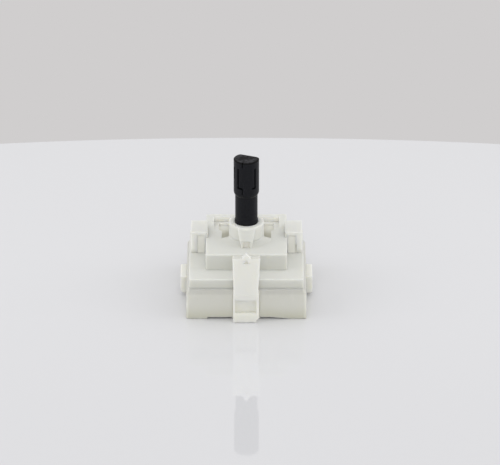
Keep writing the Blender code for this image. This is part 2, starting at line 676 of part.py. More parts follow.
def cut_tower(cover, side):
    """The window in the front, the well behind it, and the slot in the ledge that the snap arm stands in."""
    word = "right" if side > 0 else "left"
    start = SNAP_INNER + WINDOW_OVERLAP

    def hole(name, inner, outer, y_low, y_high, z_low, z_high):
        x_low, x_high = sorted((side * inner, side * outer))
        cut(cover, box(f"{name}_{word}", (x_low, y_low, z_low), (x_high, y_high, z_high)))

    hole("window", start, SNAP_OUTER - WINDOW_OVERLAP, -TOWER_FRONT - OVER, TOWER_REAR, LEDGE, WINDOW_TOP)
    hole("well", BLOCK_HALF, WINDOW_OUTER, TOWER_FACE - TOWER_FRONT, TOWER_REAR + OVER, LEDGE, WINDOW_TOP)
    hole("arm_slot", BLOCK_HALF, WINDOW_OUTER, SNAP_FRONT - GAP, SNAP_REAR + SNAP_BARB + GAP,
         LEDGE_UNDER - OVER, LEDGE + OVER)
    if side > 0:
        hole("slit", start, WINDOW_OUTER, -TOWER_FRONT - OVER, TOWER_REAR, LEDGE, LEDGE + WINDOW_SLIT)


def make_cover():
    """The cover: skirt and ledge, upper block, towers, collar, bearing sleeve and ball guides."""
    low = (-COVER_HALF, -COVER_FRONT, SKIRT_BOTTOM)
    cover = crowned("cover", low, (COVER_HALF, COVER_REAR, LEDGE), CORNER_ROUND, WHITE)
    block = crowned("upper_block", (-BLOCK_HALF, -BLOCK_FRONT, LEDGE_UNDER),
                    (BLOCK_HALF, COVER_REAR, BLOCK_TOP), TOWER_CORNER)
    join(cover, block, make_tower(-1), make_tower(1))
    inner_half = COVER_HALF - COVER_WALL
    cut(cover, box("skirt_inside", (-inner_half, -(COVER_FRONT - COVER_WALL), SKIRT_BOTTOM - OVER),
                   (inner_half, COVER_REAR - COVER_WALL, LEDGE_UNDER)),
        box("block_inside", (-(BLOCK_HALF - COVER_WALL), -(BLOCK_FRONT - COVER_WALL), SKIRT_BOTTOM - OVER),
            (BLOCK_HALF - COVER_WALL, COVER_REAR - COVER_WALL, BLOCK_CEILING)))
    lip = box("lip", (-(INNER_HALF - GAP), -(INNER_FRONT - GAP), LIP_BOTTOM),
              (INNER_HALF - GAP, INNER_REAR - GAP, LEDGE_UNDER + COVER_WALL / 2))
    inset = GAP + LIP_WALL
    cut(lip, box("lip_inside", (-(INNER_HALF - inset), -(INNER_FRONT - inset), LIP_BOTTOM - OVER),
                 (INNER_HALF - inset, INNER_REAR - inset, LEDGE + OVER)))
    join(cover, lip)
    steps = [k / 5 for k in range(6)]
    join(cover, turned("collar_cove", [(0, BLOCK_TOP + COVE_RISE)] + [
        (COLLAR_FOOT_R + COVE_REACH * t, BLOCK_TOP - GAP / 6 + COVE_RISE * (1 - t) ** 2.5) for t in steps]
        + [(COLLAR_FOOT_R + COVE_REACH, BLOCK_TOP - GAP), (0, BLOCK_TOP - GAP)]))
    cut(cover, extruded("recess", recess_outline(), RECESS_FLOOR, BLOCK_TOP + OVER))
    for side in (-1, 1):
        x_low, x_high = sorted((side * (CORE_INNER - CORE_WALL), side * (CORE_REAR_OUTER + CORE_WALL)))
        join(cover, box(f"core_walls_{side}", (x_low, -CORE_FRONT - CORE_WALL, CORE_FLOOR - CORE_WALL),
                        (x_high, CORE_REAR + CORE_WALL, BLOCK_CEILING + CEILING / 2)))
        cut(cover, make_core(side))
        cut_tower(cover, side)
    sleeve = turned("sleeve_and_collar", [(0, COLLAR_TOP), (COLLAR_RIM_R - COLLAR_RIM_EDGE, COLLAR_TOP),
                                          (COLLAR_RIM_R, COLLAR_TOP - COLLAR_RIM_EDGE),
                                          (COLLAR_RIM_R, COLLAR_TOP - 3 * COLLAR_RIM_EDGE),
                                          (COLLAR_FOOT_R, RECESS_FLOOR), (COLLAR_FOOT_R, SLEEVE_Z),
                                          (0, SLEEVE_Z)])
    join(cover, sleeve, make_collar_rib())
    for word, y in (("front", -TRACK_R), ("rear", TRACK_R)):
        join(cover, drum(f"guide_{word}", GUIDE_R, GUIDE_Z, BLOCK_CEILING + CEILING / 2, (0, y), 32))
        cut(cover, drum(f"guide_bore_{word}", GUIDE_BORE_R, GUIDE_Z - OVER, BLOCK_CEILING, (0, y), 32))
    cut(cover, turned("shaft_bore", [(0, COLLAR_TOP + OVER), (BORE_R + COUNTERSINK + OVER, COLLAR_TOP + OVER),
                                     (BORE_R, COLLAR_TOP - COUNTERSINK), (BORE_R, SLEEVE_Z - OVER),
                                     (0, SLEEVE_Z - OVER)]))
    return cover


def slit_cutter(name, angle, length, foot):
    """One slit in the shaft's tip, with its lower end turned in towards the front when foot isn't 0."""
    top = SHAFT_TOP - SLIT_BELOW_TOP
    slit = box(name, (SHAFT_TIP_R - SLIT_DEPTH, -SLIT_WIDTH / 2, top - length),
               (SHAFT_TIP_R + OVER, SLIT_WIDTH / 2, top))
    spin(slit, angle)
    if foot:
        turn = math.degrees(foot / SHAFT_TIP_R)
        inner = SHAFT_TIP_R - SLIT_DEPTH
        outer = SHAFT_TIP_R + OVER
        outline = arc(outer, angle, angle + turn, 5) + arc(inner, angle + turn, angle, 5)
        end = extruded(name + "_foot", outline, top - length, top - length + SLIT_WIDTH)
        join(slit, end)
    return slit


def make_shaft():
    """The shaft: sprung D end, journal, thrust flange, double-flatted drive section and lower pivot."""
    shoulder = SHAFT_TOP - TIP_LENGTH
    ring_foot = COLLAR_TOP + BEARING_PLAY
    ring_top = ring_foot + SEAT_RING_HEIGHT
    groove = PIVOT_R - GROOVE_DEPTH
    groove_foot = CLIP_Z - GAP / 2
    groove_top = CLIP_Z + CLIP_THICK + GAP / 2
    drive_z = CARRIER_Z
    shaft = turned("shaft", [
        (0, SHAFT_TOP), (SHAFT_TIP_R - TIP_CHAMFER, SHAFT_TOP), (SHAFT_TIP_R, SHAFT_TOP - TIP_CHAMFER_DROP),
        (SHAFT_TIP_R, shoulder), (SHAFT_TIP_R - (SHAFT_TIP_R - SHAFT_R) / 3, shoulder - TIP_SHOULDER / 2),
        (SHAFT_R, shoulder - TIP_SHOULDER), (SHAFT_R, ring_top + GAP), (SEAT_RING_R, ring_top),
        (SEAT_RING_R, ring_foot), (SHAFT_R, (ring_foot + COLLAR_TOP) / 2), (SHAFT_R, FLANGE_TOP),
        (WASHER_OUTER, FLANGE_TOP), (WASHER_OUTER, FLANGE_Z), (DRIVE_R, FLANGE_Z), (DRIVE_R, drive_z),
        (PIVOT_R, drive_z), (PIVOT_R, groove_top), (groove, groove_top),
        (groove, groove_foot), (PIVOT_R, groove_foot), (PIVOT_R, PIVOT_Z), (0, PIVOT_Z)], material=BLACK)
    flat = box("tip_flat", (FLAT_DISTANCE, -SHAFT_TIP_R - OVER, shoulder),
               (SHAFT_TIP_R + OVER, SHAFT_TIP_R + OVER, SHAFT_TOP + OVER))
    cut(shaft, spin(flat, FLAT_ANGLE))
    for sign in (-1, 1):
        low, high = sorted((sign * DRIVE_FLAT, sign * (DRIVE_R + OVER)))
        cut(shaft, box(f"drive_flat_{sign}", (-DRIVE_R - OVER, low, drive_z - GAP / 2),
                       (DRIVE_R + OVER, high, FLANGE_Z)))
    for k, (angle, foot) in enumerate(SLITS):
        cut(shaft, slit_cutter(f"slit_{k}", angle, SLIT_LENGTH, foot))
    cut(shaft, slit_cutter("slit_side", SIDE_SLIT_ANGLE, SIDE_SLIT_LENGTH, 0))
    slit_foot = SHAFT_TOP - SLIT_BELOW_TOP - SLIT_LENGTH
    for word, low, high in (("upper", SHAFT_TOP - JOINT_UPPER, SHAFT_TOP + OVER),
                            ("lower", slit_foot - JOINT_LOWER, slit_foot + SLIT_WIDTH / 2)):
        cut(shaft, spin(box(f"joint_{word}", (SHAFT_TIP_R - JOINT_DEPTH - TIP_CHAMFER, -JOINT_WIDTH / 2, low),
                            (SHAFT_TIP_R + OVER, JOINT_WIDTH / 2, high)), JOINT_ANGLE))
    return smooth(shaft)


def make_contact(name, x, pieces):
    """A stamped contact: its tab, and what reaches the track, joined and pierced for its peg."""
    half = TAB_WIDTH / 2
    rear = BASE_REAR + TAB_REACH
    root = PEG_Y - half - GAP
    outline = [(x - half, root), (x + half, root), (x + half, rear - TAB_CHAMFER),
               (x + half - TAB_CHAMFER, rear), (x - half + TAB_CHAMFER, rear), (x - half, rear - TAB_CHAMFER)]
    contact = extruded(name, outline, CONTACT_Z, CONTACT_TOP, material=BRASS)
    join(contact, *pieces)
    for word, radius, y in (("peg", PEG_R + GAP, PEG_Y), ("detent", TAB_HOLE_R, rear - TAB_HOLE_IN)):
        cut(contact, drum(f"{name}_{word}_hole", radius, CONTACT_Z - OVER, CONTACT_TOP + OVER, (x, y), 16))
    return contact


def make_contacts():
    """The common ring in the middle, and four segments round it."""
    ring = turned("common_ring_track", [(RING_OUTER, CONTACT_TOP), (RING_OUTER, CONTACT_Z),
                                        (RING_INNER, CONTACT_Z), (RING_INNER, CONTACT_TOP)], closed=True)
    neck = TAB_WIDTH / 4
    root = PEG_Y - TAB_WIDTH / 2
    middle = (RING_INNER + RING_OUTER) / 2
    make_contact("contact_common", 0, [ring, box("common_neck", (-neck, middle, CONTACT_Z),
                                                 (neck, root, CONTACT_TOP))])
    for side in (-1, 1):
        word = "left" if side < 0 else "right"
        for place, centre, tab in (("rear", 90 - side * 45, side), ("front", -90 + side * 45, 2 * side)):
            half = SEGMENT_SPAN / 2
            track = extruded(f"track_{place}_{word}",
                             arc(SEGMENT_OUTER, centre - half, centre + half, 13)
                             + arc(SEGMENT_INNER, centre + half, centre - half, 13), CONTACT_Z, CONTACT_TOP)
            x = tab * TAB_PITCH
            if place == "rear":
                foot = math.sqrt(SEGMENT_INNER ** 2 - x ** 2) + GAP
                leads = [box(f"lead_{place}_{word}", (x - TAB_WIDTH / 2, foot, CONTACT_Z),
                             (x + TAB_WIDTH / 2, root, CONTACT_TOP))]
            else:
                reach = SEGMENT_OUTER * math.sin(math.radians(45))
                strip = sorted((side * STRIP_INNER, side * STRIP_OUTER))
                cross = sorted((side * (reach - CROSS_STRIP / 2), side * STRIP_OUTER))
                link = sorted((x, side * STRIP_OUTER))
                leads = [box(f"cross_{word}", (cross[0], -reach - CROSS_STRIP / 2, CONTACT_Z),
                             (cross[1], -reach + CROSS_STRIP / 2, CONTACT_TOP)),
                         box(f"strip_{word}", (strip[0], -reach, CONTACT_Z), (strip[1], PEG_Y, CONTACT_TOP)),
                         box(f"link_{word}", (link[0], PEG_Y - TAB_WIDTH / 2, CONTACT_Z),
                             (link[1], PEG_Y, CONTACT_TOP))]
            make_contact(f"contact_{place}_{word}", x, [track] + leads)


def make_clamp():
    """The bar that holds the contacts down on their pegs, with a finger that closes each notch."""
    outer = TAB_XS[-1] + TAB_WIDTH / 2
    clamp = box("terminal_clamp", (-outer, CLAMP_FRONT, CLAMP_Z),
                (outer, INNER_REAR - GAP, CLAMP_TOP), NATURAL)
    for k, x in enumerate(TAB_XS):
        half = TAB_WIDTH / 2
        join(clamp, box(f"finger_{k}", (x - half, INNER_REAR - GAP - BASE_WALL / 2, CLAMP_Z),
                        (x + half, BASE_REAR - GAP, LIP_BOTTOM - GAP)))
        cut(clamp, drum(f"clamp_hole_{k}", PEG_R + GAP, CLAMP_Z - OVER, CLAMP_TOP + OVER, (x, PEG_Y), 16))
    return clamp


def wiper_angle(index):
    return WIPER_START + 360 * index / WIPER_COUNT


def wiper_place(index):
    """Where a wiper's peg stands."""
    angle = math.radians(wiper_angle(index))
    return WIPER_PEG_AT * math.cos(angle), WIPER_PEG_AT * math.sin(angle)


def make_carrier():
    """The wiper carrier: a disc keyed to the shaft, with a peg for each wiper."""
    carrier = turned("wiper_carrier", [(0, CARRIER_TOP), (WHEEL_R, CARRIER_TOP), (WHEEL_R, CARRIER_Z),
                                       (0, CARRIER_Z)], material=NATURAL)
    for k in range(WIPER_COUNT):
        join(carrier, drum(f"wiper_peg_{k}", WIPER_PEG_R, WIPER_Z + WIPER_RISE - GAP,
                           (CARRIER_Z + CARRIER_TOP) / 2, wiper_place(k), 12))
    cut(carrier, drive_hole("carrier_hole", CARRIER_Z - OVER, CARRIER_TOP + OVER))
    return carrier


def make_wiper(index):
    """One wiper: a bent strip that bridges the common ring and a segment, with a bow over each track."""
    half = WIPER_SHEET / 2
    low = WIPER_Z + half
    high = low + WIPER_RISE
    ring = (RING_INNER + RING_OUTER) / 2
    segment = (SEGMENT_INNER + SEGMENT_OUTER) / 2
    toe = 3 * WIPER_SHEET
    path = [(ring - toe, low + toe / 2), (ring, low), (WIPER_PEG_AT - toe - WIPER_PEG_R, high),
            (WIPER_PEG_AT + toe + WIPER_PEG_R, high), (segment, low), (segment + toe, low + toe / 2)]
    wiper = extruded(f"wiper_{index + 1}", [(r, z) for r, z in strip_outline(path, WIPER_SHEET)],
                     -WIPER_WIDTH / 2, WIPER_WIDTH / 2, "Y", BRONZE)
    spin(wiper, wiper_angle(index))
    cut(wiper, drum(f"wiper_hole_{index}", WIPER_PEG_R + GAP / 2, WIPER_Z, CARRIER_Z, wiper_place(index), 12))
    return wiper


def make_wheel():
    """The detent wheel: a ring with a radial groove for each position, on a hub keyed to the shaft."""
    inner = TRACK_R - TRACK_HALF
    outer = TRACK_R + TRACK_HALF
    wheel = turned("detent_wheel", [
        (0, HUB_TOP), (HUB_R, HUB_TOP), (HUB_R, CAM_VALLEY), (inner, CAM_VALLEY), (inner, CAM_TOP),
        (outer, CAM_TOP), (outer, CAM_VALLEY), (WHEEL_R, CAM_VALLEY), (WHEEL_R, WHEEL_Z), (0, WHEEL_Z)],
        material=NATURAL)
    bm = bmesh.new()
    for k in range(POSITIONS):
        roller = bmesh.ops.create_cone(bm, cap_ends=True, segments=32, radius1=CAM_GROOVE_R,
                                       radius2=CAM_GROOVE_R, depth=2 * TRACK_HALF + OVER)
        place = (Matrix.Rotation(math.radians(90 + 360 * k / POSITIONS), 4, "Z")
                 @ Matrix.Translation((TRACK_R, 0, CAM_VALLEY + CAM_GROOVE_R))
                 @ Matrix.Rotation(math.radians(90), 4, "Y"))
        bmesh.ops.transform(bm, matrix=place, verts=roller["verts"])
    cut(wheel, mesh_object("detent_grooves", bm))
    cut(wheel, drive_hole("wheel_hole", WHEEL_Z - OVER, HUB_TOP + OVER))
    return wheel


def make_washer():
    """The thrust washer between the shaft's flange and the bearing sleeve."""
    section = [(WASHER_OUTER, WASHER_TOP), (WASHER_OUTER, WASHER_Z), (BORE_R, WASHER_Z), (BORE_R, WASHER_TOP)]
    return smooth(turned("thrust_washer", section, closed=True, material=NATURAL))


def make_clip():
    """The retaining clip: an open ring in the groove of the lower pivot."""
    inner = PIVOT_R - GROOVE_DEPTH + GAP / 2
    outer = inner + CLIP_WIDTH
    top = CLIP_Z + CLIP_THICK
    clip = turned("retaining_clip", [(outer, top), (outer, CLIP_Z), (inner, CLIP_Z), (inner, top)],
                  SMALL_STEPS, STEEL, closed=True)
    cut(clip, box("clip_mouth", (0, -CLIP_MOUTH / 2, CLIP_Z - OVER),
                  (outer + OVER, CLIP_MOUTH / 2, top + OVER)))
    return clip


def make_detent(word, y):
    """One detent: a ball in its guide, and the coil spring above it."""
    ball = bmesh.new()
    bmesh.ops.create_uvsphere(ball, u_segments=20, v_segments=12, radius=BALL_R)
    obj = mesh_object(f"detent_ball_{word}", ball, STEEL)
    obj.location = (0, y, BALL_Z)
    smooth(obj)
    coil_r = BALL_R - SPRING_WIRE - GAP / 2
    low = SPRING_Z + SPRING_WIRE
    high = SPRING_TOP - SPRING_WIRE
    per_turn = 12
    count = per_turn * SPRING_TURNS + 1
    curve = bpy.data.curves.new(f"detent_spring_{word}", "CURVE")
    curve.dimensions = "3D"
    curve.bevel_depth = SPRING_WIRE
    curve.bevel_resolution = 1
    curve.use_fill_caps = True
    spline = curve.splines.new("POLY")
    spline.points.add(count - 1)
    for k, point in enumerate(spline.points):
        angle = 2 * math.pi * k / per_turn
        point.co = (coil_r * math.cos(angle), coil_r * math.sin(angle),
                    low + (high - low) * k / (count - 1), 1.0)
    spring = finish(bpy.data.objects.new(curve.name, curve), STEEL)
    spring.location = (0, y, 0)


make_base()
make_cover()
make_shaft()
make_contacts()
make_clamp()
make_carrier()
make_wheel()
make_washer()
make_clip()
for number in range(WIPER_COUNT):
    make_wiper(number)
make_detent("front", -TRACK_R)
make_detent("rear", TRACK_R)
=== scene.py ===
"""A rotary selector switch on a pale turntable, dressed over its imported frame.

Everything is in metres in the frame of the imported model: +Z runs up the shaft, -Y is the side with
the panel latch, and the origin is on the shaft's axis in the plane of the underside.
"""
import math

import bpy
import numpy as np
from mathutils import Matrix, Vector


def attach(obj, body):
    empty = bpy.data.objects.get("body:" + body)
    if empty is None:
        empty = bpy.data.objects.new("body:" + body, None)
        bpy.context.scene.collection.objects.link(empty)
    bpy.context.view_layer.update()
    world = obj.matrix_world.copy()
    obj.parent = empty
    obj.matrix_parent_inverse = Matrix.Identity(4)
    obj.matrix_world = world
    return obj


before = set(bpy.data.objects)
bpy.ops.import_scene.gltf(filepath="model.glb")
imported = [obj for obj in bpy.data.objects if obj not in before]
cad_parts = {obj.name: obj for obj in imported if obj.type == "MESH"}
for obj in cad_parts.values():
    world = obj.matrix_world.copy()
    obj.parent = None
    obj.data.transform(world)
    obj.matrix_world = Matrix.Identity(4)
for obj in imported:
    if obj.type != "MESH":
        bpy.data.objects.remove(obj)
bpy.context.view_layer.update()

MM = 0.001

# Camera, from where the photo was taken
CAMERA_ELEVATION = 27.0
CAMERA_DISTANCE = 1.2
CAMERA_LENS = 336.96        # for a sensor 36 mm wide
CAMERA_AIM = (0.923 * MM, 0.0, 16.52 * MM)

# Table: a white turntable whose far rim shows behind the switch
TABLE_RADIUS = 0.62
TABLE_REAR = 0.091
TABLE_THICK = 0.012
TABLE_RIM = 0.0015

# Places on the housing: heights from the underside up, then half widths and places along Y
BASE_RIM = 8.25 * MM
SKIRT_FOOT = 8.40 * MM
LEDGE = 11.0 * MM
SUNK_FLOOR = 14.1 * MM
BLOCK_TOP = 15.4 * MM
TOWER_ROOF = 16.0 * MM
SHAFT_TOP = 37.7 * MM
SUNK_HALF = 8.6 * MM
BLOCK_HALF = 10.4 * MM
HOOK_INNER = 10.76 * MM
HOOK_WIDTH = 1.78 * MM
WINDOW_OUTER = 12.9 * MM
COVER_HALF = 14.65 * MM
EAR_INNER = 15.45 * MM
COLLAR_RADIUS = 4.6 * MM
COVER_FRONT = 15.5 * MM     # distance of the cover's front from the shaft's axis
COVER_REAR = 12.75 * MM
COVER_CORNER = 0.5 * MM
HOOK_FACE = -0.05 * MM
WALL_LEAN = 0.079           # how far the base's front wall leans back as it rises

# Colours, as they are seen on the object
COVER_PLAIN = (0.694, 0.699, 0.662, 1.0)
COVER_CLOUD = (0.707, 0.711, 0.670, 1.0)
# Painted light and shade on the cover, one tone for each place that it lightens or darkens.
COVER_LOW_SHADE = (0.674, 0.674, 0.596, 1.0)
COVER_COLLAR_LIGHT = (0.775, 0.778, 0.735, 1.0)
COVER_RIB_FOOT_LIGHT = (0.800, 0.790, 0.735, 1.0)
COVER_CORE_REAR_LIGHT = (0.760, 0.755, 0.690, 1.0)
COVER_CORE_FRONT_SHADE = (0.540, 0.530, 0.445, 1.0)
COVER_THIN_LIGHT = (0.840, 0.842, 0.795, 1.0)
COVER_ROOF_LIGHT = (0.738, 0.740, 0.703, 1.0)
COVER_SUNK = (0.745, 0.742, 0.700, 1.0)
COVER_SUNK_WALL = (0.860, 0.855, 0.815, 1.0)
COVER_SHADE_BY_COLLAR = (0.640, 0.638, 0.590, 1.0)
BASE_PLAIN = (0.708, 0.706, 0.650, 1.0)
BASE_CLOUD = (0.721, 0.719, 0.663, 1.0)
# Painted light and shade on the base, one tone for each place that it lightens or darkens.
BASE_LOW_SHADE = (0.610, 0.605, 0.505, 1.0)
BASE_ARM = (0.810, 0.810, 0.770, 1.0)
BASE_FOOT_LIGHT = (0.832, 0.830, 0.766, 1.0)
BASE_POCKET_LIGHT = (0.712, 0.698, 0.612, 1.0)
BASE_EAR_LIGHT = (0.828, 0.824, 0.775, 1.0)
BASE_HOOK_LIGHT = (0.920, 0.910, 0.850, 1.0)
BASE_ARM_TOP_SHADE = (0.640, 0.640, 0.600, 1.0)
FLASH_PLAIN = (0.755, 0.752, 0.700, 1.0)
FLASH_CLOUD = (0.770, 0.767, 0.715, 1.0)
# Painted light on the hooks' faces in their windows.
FLASH_HOOK_LIGHT = (0.820, 0.815, 0.755, 1.0)
# Dark specks of real dust, also used as painted shade under the skirt.
PLASTIC_DUST_AND_SHADE = (0.46, 0.45, 0.41, 1.0)
PLASTIC_RUBBED = (0.80, 0.79, 0.75, 1.0)
BLACK_PLASTIC = (0.0058, 0.0064, 0.0088, 1.0)
WORN_BLACK = (0.040, 0.040, 0.045, 1.0)
# Painted shade on the rim of the shaft's flat end.
BLACK_RIM_SHADE = (0.0008, 0.0008, 0.0010, 1.0)
BLACK_TOP = (0.005, 0.005, 0.006, 1.0)
WORN_TOP = (0.043, 0.043, 0.048, 1.0)
ACETAL = (0.760, 0.750, 0.700, 1.0)
ACETAL_CLOUD = (0.70, 0.68, 0.61, 1.0)
TIN = (0.700, 0.660, 0.520, 1.0)
TARNISH = (0.430, 0.360, 0.230, 1.0)
BRONZE = (0.700, 0.450, 0.270, 1.0)
DARK_BRONZE = (0.430, 0.250, 0.150, 1.0)
STEEL = (0.600, 0.600, 0.610, 1.0)
DARK_STEEL = (0.36, 0.36, 0.37, 1.0)
TABLE_WHITE = (0.750, 0.752, 0.772, 1.0)
TABLE_CLOUD = (0.757, 0.759, 0.779, 1.0)
# Painted shade towards the front of the table.
TABLE_FRONT_SHADE = (0.718, 0.719, 0.738, 1.0)
BACKDROP_GREY = (0.631, 0.617, 0.617, 1.0)
SURROUND_WHITE = (1.0, 1.0, 1.0, 1.0)

# Light: the strength of the surround, and each panel's name, place, size and power
SURROUND = 0.88
PANELS = (("front_panel", (0.0, -1.3, 0.75), 0.7, 2.1),
          ("left_panel", (-0.77, -0.04, 0.60), 0.5, 1.05),
          ("right_panel", (0.77, -0.04, 0.60), 0.5, 1.05))


class Wire:
    """A number that changes over a surface. Sums, products and differences of wires add Math nodes."""

    def __init__(self, finish, socket):
        self.finish, self.socket = finish, socket

    def math(self, operation, first, second):
        return self.finish.node("ShaderNodeMath", {"operation": operation}, {0: first, 1: second})

    def __add__(self, other):
        return self.math("ADD", self, other)

    def __sub__(self, other):
        return self.math("SUBTRACT", self, other)

    def __rsub__(self, other):
        return self.math("SUBTRACT", other, self)

    def __mul__(self, other):
        return self.math("MULTIPLY", self, other)

    __radd__ = __add__
    __rmul__ = __mul__


class Finish:
    """A procedural material: its nodes, and the Principled shader that they feed."""

    def __init__(self, name, slot, constants):
        self.slot = slot
        self.material = bpy.data.materials.new(name)
        self.material.use_nodes = True
        self.tree = self.material.node_tree
        self.shader = self.tree.nodes["Principled BSDF"]
        for socket, value in constants.items():
            self.shader.inputs[socket].default_value = value
        self.place = self.node("ShaderNodeTexCoord", {}, {}, "Object")

    def node(self, kind, settings, inputs, output=0):
        """Makes a node: its settings first, then the numbers, colours or wires of its sockets."""
        node = self.tree.nodes.new(kind)
        for name, value in settings.items():
            setattr(node, name, value)
        for name, value in inputs.items():
            if isinstance(value, Wire):
                self.tree.links.new(value.socket, node.inputs[name])
            else:
                node.inputs[name].default_value = value
        return Wire(self, node.outputs[output])

    def feed(self, socket, wire):
        self.tree.links.new(wire.socket, self.shader.inputs[socket])

    def stretched(self, scale):
        """The place on the object, scaled along each axis."""
        return self.node("ShaderNodeVectorMath", {"operation": "MULTIPLY"}, {0: self.place, 1: scale})

    def noise(self, size, detail=2.0, stretch=(1.0, 1.0, 1.0), roughness=0.5):
        """Noise from 0 to 1 whose blobs are about size across, in metres."""
        scale = tuple(factor / size for factor in stretch)
        return self.node("ShaderNodeTexNoise", {}, {"Vector": self.stretched(scale), "Scale": 1.0,
                                                    "Detail": detail, "Roughness": roughness})

    def above(self, wire, low, high):
        """0 where the wire is under low, 1 where it is over high, and a smooth step between them."""
        return self.node("ShaderNodeMapRange", {"interpolation_type": "SMOOTHSTEP"},
                         {"Value": wire, "From Min": low, "From Max": high})

    def beyond(self, square, near, far):
        """0 where a squared distance is under near squared, 1 where it is over far squared."""
        return self.above(square, near ** 2, far ** 2)

    def within(self, wire, low, high, edge):
        """1 where the wire is between low and high, falling to 0 over edge outside each."""
        return self.above(wire, low - edge, low) * (1 - self.above(wire, high, high + edge))

    def mixed(self, factor, first, second):
        """A colour between two others."""
        return self.node("ShaderNodeMix", {"data_type": "RGBA"}, {"Factor": factor, 6: first, 7: second}, 2)

    def axis(self, name):
        """One coordinate of the place on the object, in metres."""
        return self.node("ShaderNodeSeparateXYZ", {}, {0: self.place}, name)

    def bump(self, height, depth):
        """Bump in the Normal socket, from a height of 0 to 1 that stands for depth in metres."""
        self.feed("Normal", self.node("ShaderNodeBump", {}, {"Strength": 1.0, "Distance": depth,
                                                             "Height": height}, "Normal"))


def moulded_white(name, plain, cloud, shade, scatter=1.0):
    """White moulded plastic: cloudy in tone, finely eroded by the mould, with rubbed and dusty places.

    shade takes the finish and a colour, and gives the colour with painted light and shade over the piece's
    own features.
    scatter is 0 for small pieces set into the housing, whose buried sides would darken them.
    """
    finish = Finish(name, "white_plastic", {"Subsurface Weight": scatter, "Subsurface Scale": 0.0012,
                                            "Subsurface Radius": (1.0, 0.97, 0.88), "IOR": 1.45,
                                            "Specular IOR Level": 0.30})
    clouds = finish.noise(9 * MM, 3.0)
    grain = finish.noise(0.11 * MM, 2.0)
    rubbed = finish.above(finish.noise(1.6 * MM, 5.0, (1.0, 1.0, 0.35), 0.6), 0.60, 0.74)
    dust = finish.above(finish.noise(0.55 * MM, 2.0), 0.72, 0.80) * finish.above(clouds, 0.5, 0.62)
    colour = shade(finish, finish.mixed(clouds, plain, cloud))
    colour = finish.mixed(dust * 0.35, colour, PLASTIC_DUST_AND_SHADE)
    finish.feed("Base Color", finish.mixed(rubbed * 0.22, colour, PLASTIC_RUBBED))
    finish.feed("Roughness", 0.48 + 0.10 * clouds + 0.08 * grain - 0.08 * rubbed)
    finish.bump(grain + 0.6 * finish.noise(0.5 * MM, 3.0), 0.006 * MM)
    return finish


def cover_shade(finish, colour):
    """The cover: painted shade low on each step and round the collar; painted light and shade in its hollows;
    painted light on the collar and towers.
    """
    x, y, z = (finish.axis(name) for name in "XYZ")
    side, reach = x * x, x * x + y * y

    # Painted shade: the skirt darker, and a band at the foot of the block darker, where shade falls low on
    # each step.
    low = 1 - finish.above(z, SKIRT_FOOT - 0.6 * MM, LEDGE - 0.2 * MM)
    foot = finish.above(z, LEDGE, LEDGE + 0.1 * MM)
    foot = foot * (1 - finish.above(z, LEDGE + 0.1 * MM, LEDGE + 3.6 * MM))
    colour = finish.mixed(low + 0.35 * foot, colour, COVER_LOW_SHADE)

    over = finish.above(z, BLOCK_TOP + 0.2 * MM, BLOCK_TOP + 1.2 * MM)
    # Painted shade: the block's top darker round the collar, in mottled patches, where the collar's shade
    # falls.
    near_collar = 1 - finish.beyond(reach, COLLAR_RADIUS, 9.5 * MM)
    shade_mottle = 0.25 + 0.75 * finish.noise(1.1 * MM, 3.0, (1.0, 0.5, 1.0))
    top = finish.above(z, SUNK_FLOOR, BLOCK_TOP - 0.1 * MM) * (1 - over)
    colour = finish.mixed(near_collar * shade_mottle * top * 0.6, colour, COVER_SHADE_BY_COLLAR)
    # Painted light: the collar paler than the rest of the cover.
    collar = over * (1 - finish.beyond(reach, COLLAR_RADIUS, 4.9 * MM))
    colour = finish.mixed(collar, colour, COVER_COLLAR_LIGHT)
    # Painted light: the foot of the rib in front of the collar paler, where it stands in shade.
    rib_foot = (1 - finish.beyond(side, 0.85 * MM, 0.95 * MM)) * finish.within(
        z, BLOCK_TOP + 0.1 * MM, 17.05 * MM, 0.1 * MM) * (1 - finish.above(y, -4.6 * MM, -4.4 * MM))
    colour = finish.mixed(rib_foot, colour, COVER_RIB_FOOT_LIGHT)

    inside = (1 - finish.beyond(side, SUNK_HALF, 9.0 * MM)) * finish.above(y, -1.2 * MM, -0.8 * MM)
    # Painted shade and light in the slots beside the collar: darker towards their front, paler towards their
    # rear.
    core = finish.within(z, SUNK_FLOOR - 1.9 * MM, SUNK_FLOOR - 0.05 * MM, 0.05 * MM)
    depth = finish.mixed(finish.above(y, 5.0 * MM, 9.0 * MM), COVER_CORE_FRONT_SHADE, COVER_CORE_REAR_LIGHT)
    colour = finish.mixed(core * inside, colour, depth)
    # Painted light: the sunk floor round the collar and the wall behind it paler, where they lie in shade.
    sunk = finish.within(z, SUNK_FLOOR - 0.02 * MM, SUNK_FLOOR + 0.02 * MM, 0.03 * MM)
    colour = finish.mixed(sunk * inside, colour, COVER_SUNK)
    behind = finish.within(z, SUNK_FLOOR - 0.6 * MM, BLOCK_TOP - 0.15 * MM, 0.05 * MM)
    behind = behind * finish.above(y, 9.8 * MM, 9.95 * MM)
    colour = finish.mixed(behind * inside * (1 - sunk), colour, COVER_SUNK_WALL)

    # Painted light: the thin-walled towers paler, as if lit through, and their roofs paler than the block but
    # less than the towers.
    tower = finish.beyond(side, BLOCK_HALF + 0.1 * MM, BLOCK_HALF + 0.3 * MM)
    tower = tower * finish.above(z, LEDGE, LEDGE + 1.5 * MM)
    colour = finish.mixed(tower, colour, COVER_THIN_LIGHT)
    roof = finish.above(z, TOWER_ROOF, TOWER_ROOF + 0.8 * MM)
    return finish.mixed(tower * roof, colour, COVER_ROOF_LIGHT)


